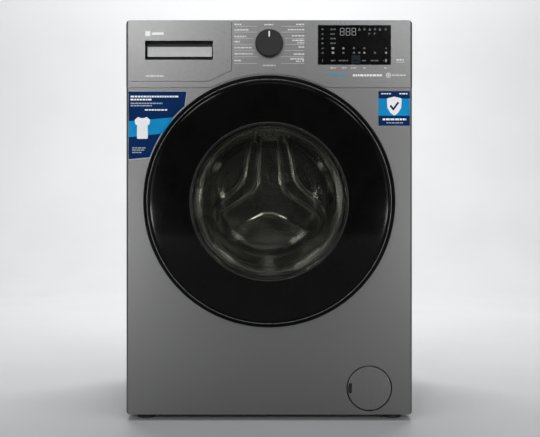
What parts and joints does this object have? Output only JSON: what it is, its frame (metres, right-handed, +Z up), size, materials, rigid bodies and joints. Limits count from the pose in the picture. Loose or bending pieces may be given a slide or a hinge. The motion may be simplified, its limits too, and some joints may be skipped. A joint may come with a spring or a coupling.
{
  "type": "front load washing machine",
  "caption": "Free-standing front load washing machine: boxy cabinet, round porthole door, dial and display panel, detergent drawer, suspended drum inside.",
  "frame": {"origin": "centre of the bounding box's underside: on the floor, midway across the width and midway between the door's front and the rear water inlet", "axes": "+X to the right as seen from the front, -Y out of the door side, +Z up"},
  "size_m": [0.6, 0.59, 0.84],
  "materials": {
    "grey_enamel": "metallic grey paint",
    "galvanised": "zinc coated sheet",
    "worktop_board": "laminated board with a grey skin",
    "fascia_plastic": "metallic grey plastic",
    "black_gloss": "gloss black",
    "window_tint": "gloss black, clear in the middle",
    "display_black": "gloss black lens",
    "knob_plastic": "satin dark grey",
    "silver_plastic": "metallised silver",
    "white_plastic": "off-white",
    "tub_plastic": "filled polypropylene",
    "dark_plastic": "dark grey",
    "circuit": "green board",
    "stainless": "polished stainless steel",
    "spring_steel": "zinc coated steel",
    "cast_alloy": "as cast",
    "grey_rubber": "matt grey",
    "black_rubber": "matt black",
    "concrete": "cast concrete",
    "clear_glass": "clear pressed glass",
    "printed_film": "printed navy film"
  },
  "bodies": {
    "cabinet": {"base_tray": "dark_plastic", "left_side_panel": "grey_enamel", "right_side_panel": "grey_enamel", "front_panel": "grey_enamel", "rear_panel": "galvanised", "service_cover": "galvanised", "top_cover": "worktop_board", "upper_rails": "galvanised", "control_panel": "fascia_plastic", "display_window": "display_black", "display_board": "circuit", "main_board": "circuit", "dispenser_housing": "tub_plastic", "inlet_valve": "white_plastic", "pressure_sensor": "white_plastic", "door_lock": "dark_plastic", "hinge_bracket": "spring_steel", "pump_housing": "dark_plastic", "pump_motor": "dark_plastic", "tub_hoses": "grey_rubber", "drain_hose": "black_rubber", "suspension_springs": "spring_steel", "damper_cylinders": "dark_plastic", "front_stickers": "printed_film", "foot_lock_nuts": "spring_steel", "panel_screws": "spring_steel", "cord_gland": "black_rubber"},
    "drawer": {"drawer_front": "fascia_plastic", "drawer_handle": "silver_plastic", "drawer_tray": "white_plastic"},
    "knob": {"program_knob": "knob_plastic"},
    "door": {"door_frame": "black_gloss", "door_trim_ring": "silver_plastic", "door_cover": "window_tint", "door_glass": "clear_glass", "door_inner_ring": "dark_plastic", "door_hinge_arm": "spring_steel"},
    "latch": {"latch_hook": "spring_steel"},
    "tub": {"tub_front": "tub_plastic", "tub_rear": "tub_plastic", "door_gasket": "grey_rubber", "counterweights": "concrete", "drum_bearings": "stainless", "heater": "stainless", "motor_body": "cast_alloy", "drive_belt": "black_rubber", "damper_rods": "spring_steel"},
    "drum": {"drum_shell": "stainless", "drum_back": "stainless", "drum_lifters": "white_plastic", "drum_spider": "cast_alloy", "drum_pulley": "cast_alloy"},
    "motor_rotor": {"motor_pulley": "spring_steel"},
    "flap": {"filter_flap": "fascia_plastic"},
    "filter": {"pump_filter": "dark_plastic"},
    "impeller": {"pump_impeller": "white_plastic"},
    "foot_fl": {"foot_front_left": "black_rubber"},
    "foot_fr": {"foot_front_right": "black_rubber"},
    "foot_rl": {"foot_rear_left": "black_rubber"},
    "foot_rr": {"foot_rear_right": "black_rubber"}
  },
  "joints": [
    {"name": "door_hinge", "type": "hinge", "parent": "cabinet", "child": "door", "pos_m": [-0.25, -0.272, 0.461], "axis": [0, 0, -1], "range_deg": [0, 135]},
    {"name": "latch_pivot", "type": "hinge", "parent": "door", "child": "latch", "pos_m": [0.21, -0.268, 0.461], "axis": [0, 0, -1], "range_deg": [0, 8], "stiffness_Nm_per_rad": 0.3},
    {"name": "drawer_slide", "type": "slide", "parent": "cabinet", "child": "drawer", "axis": [0, -1, 0], "range_m": [0, 0.22]},
    {"name": "knob_turn", "type": "hinge", "parent": "cabinet", "child": "knob", "pos_m": [0, -0.254, 0.791], "axis": [0, -1, 0], "continuous": true},
    {"name": "tub_bounce", "type": "slide", "parent": "cabinet", "child": "tub", "axis": [0, 0, 1], "range_m": [-0.012, 0.008], "stiffness_N_per_m": 15000, "springref_m": 0.02588, "deforming": ["suspension_springs", "tub_hoses", "door_gasket"]},
    {"name": "drum_spin", "type": "hinge", "parent": "tub", "child": "drum", "pos_m": [0, 0, 0.461], "axis": [0, -1, 0], "continuous": true},
    {"name": "motor_spin", "type": "hinge", "parent": "tub", "child": "motor_rotor", "pos_m": [0.025, 0.15, 0.11], "axis": [0, -1, 0], "continuous": true},
    {"name": "flap_pull", "type": "slide", "parent": "cabinet", "child": "flap", "axis": [0, -1, 0], "range_m": [0, 0.03]},
    {"name": "filter_turn", "type": "hinge", "parent": "cabinet", "child": "filter", "pos_m": [0.21, -0.23, 0.068], "axis": [0, -1, 0], "range_deg": [0, 270]},
    {"name": "impeller_spin", "type": "hinge", "parent": "cabinet", "child": "impeller", "pos_m": [0.21, -0.14, 0.068], "axis": [0, -1, 0], "continuous": true},
    {"name": "foot_fl_height", "type": "slide", "parent": "cabinet", "child": "foot_fl", "axis": [0, 0, -1], "range_m": [0, 0.015]},
    {"name": "foot_fr_height", "type": "slide", "parent": "cabinet", "child": "foot_fr", "axis": [0, 0, -1], "range_m": [0, 0.015]},
    {"name": "foot_rl_height", "type": "slide", "parent": "cabinet", "child": "foot_rl", "axis": [0, 0, -1], "range_m": [0, 0.015]},
    {"name": "foot_rr_height", "type": "slide", "parent": "cabinet", "child": "foot_rr", "axis": [0, 0, -1], "range_m": [0, 0.015]}
  ],
  "couplings": [
    {"joint": "motor_spin", "follows": "drum_spin", "ratio": 11.6}
  ]
}
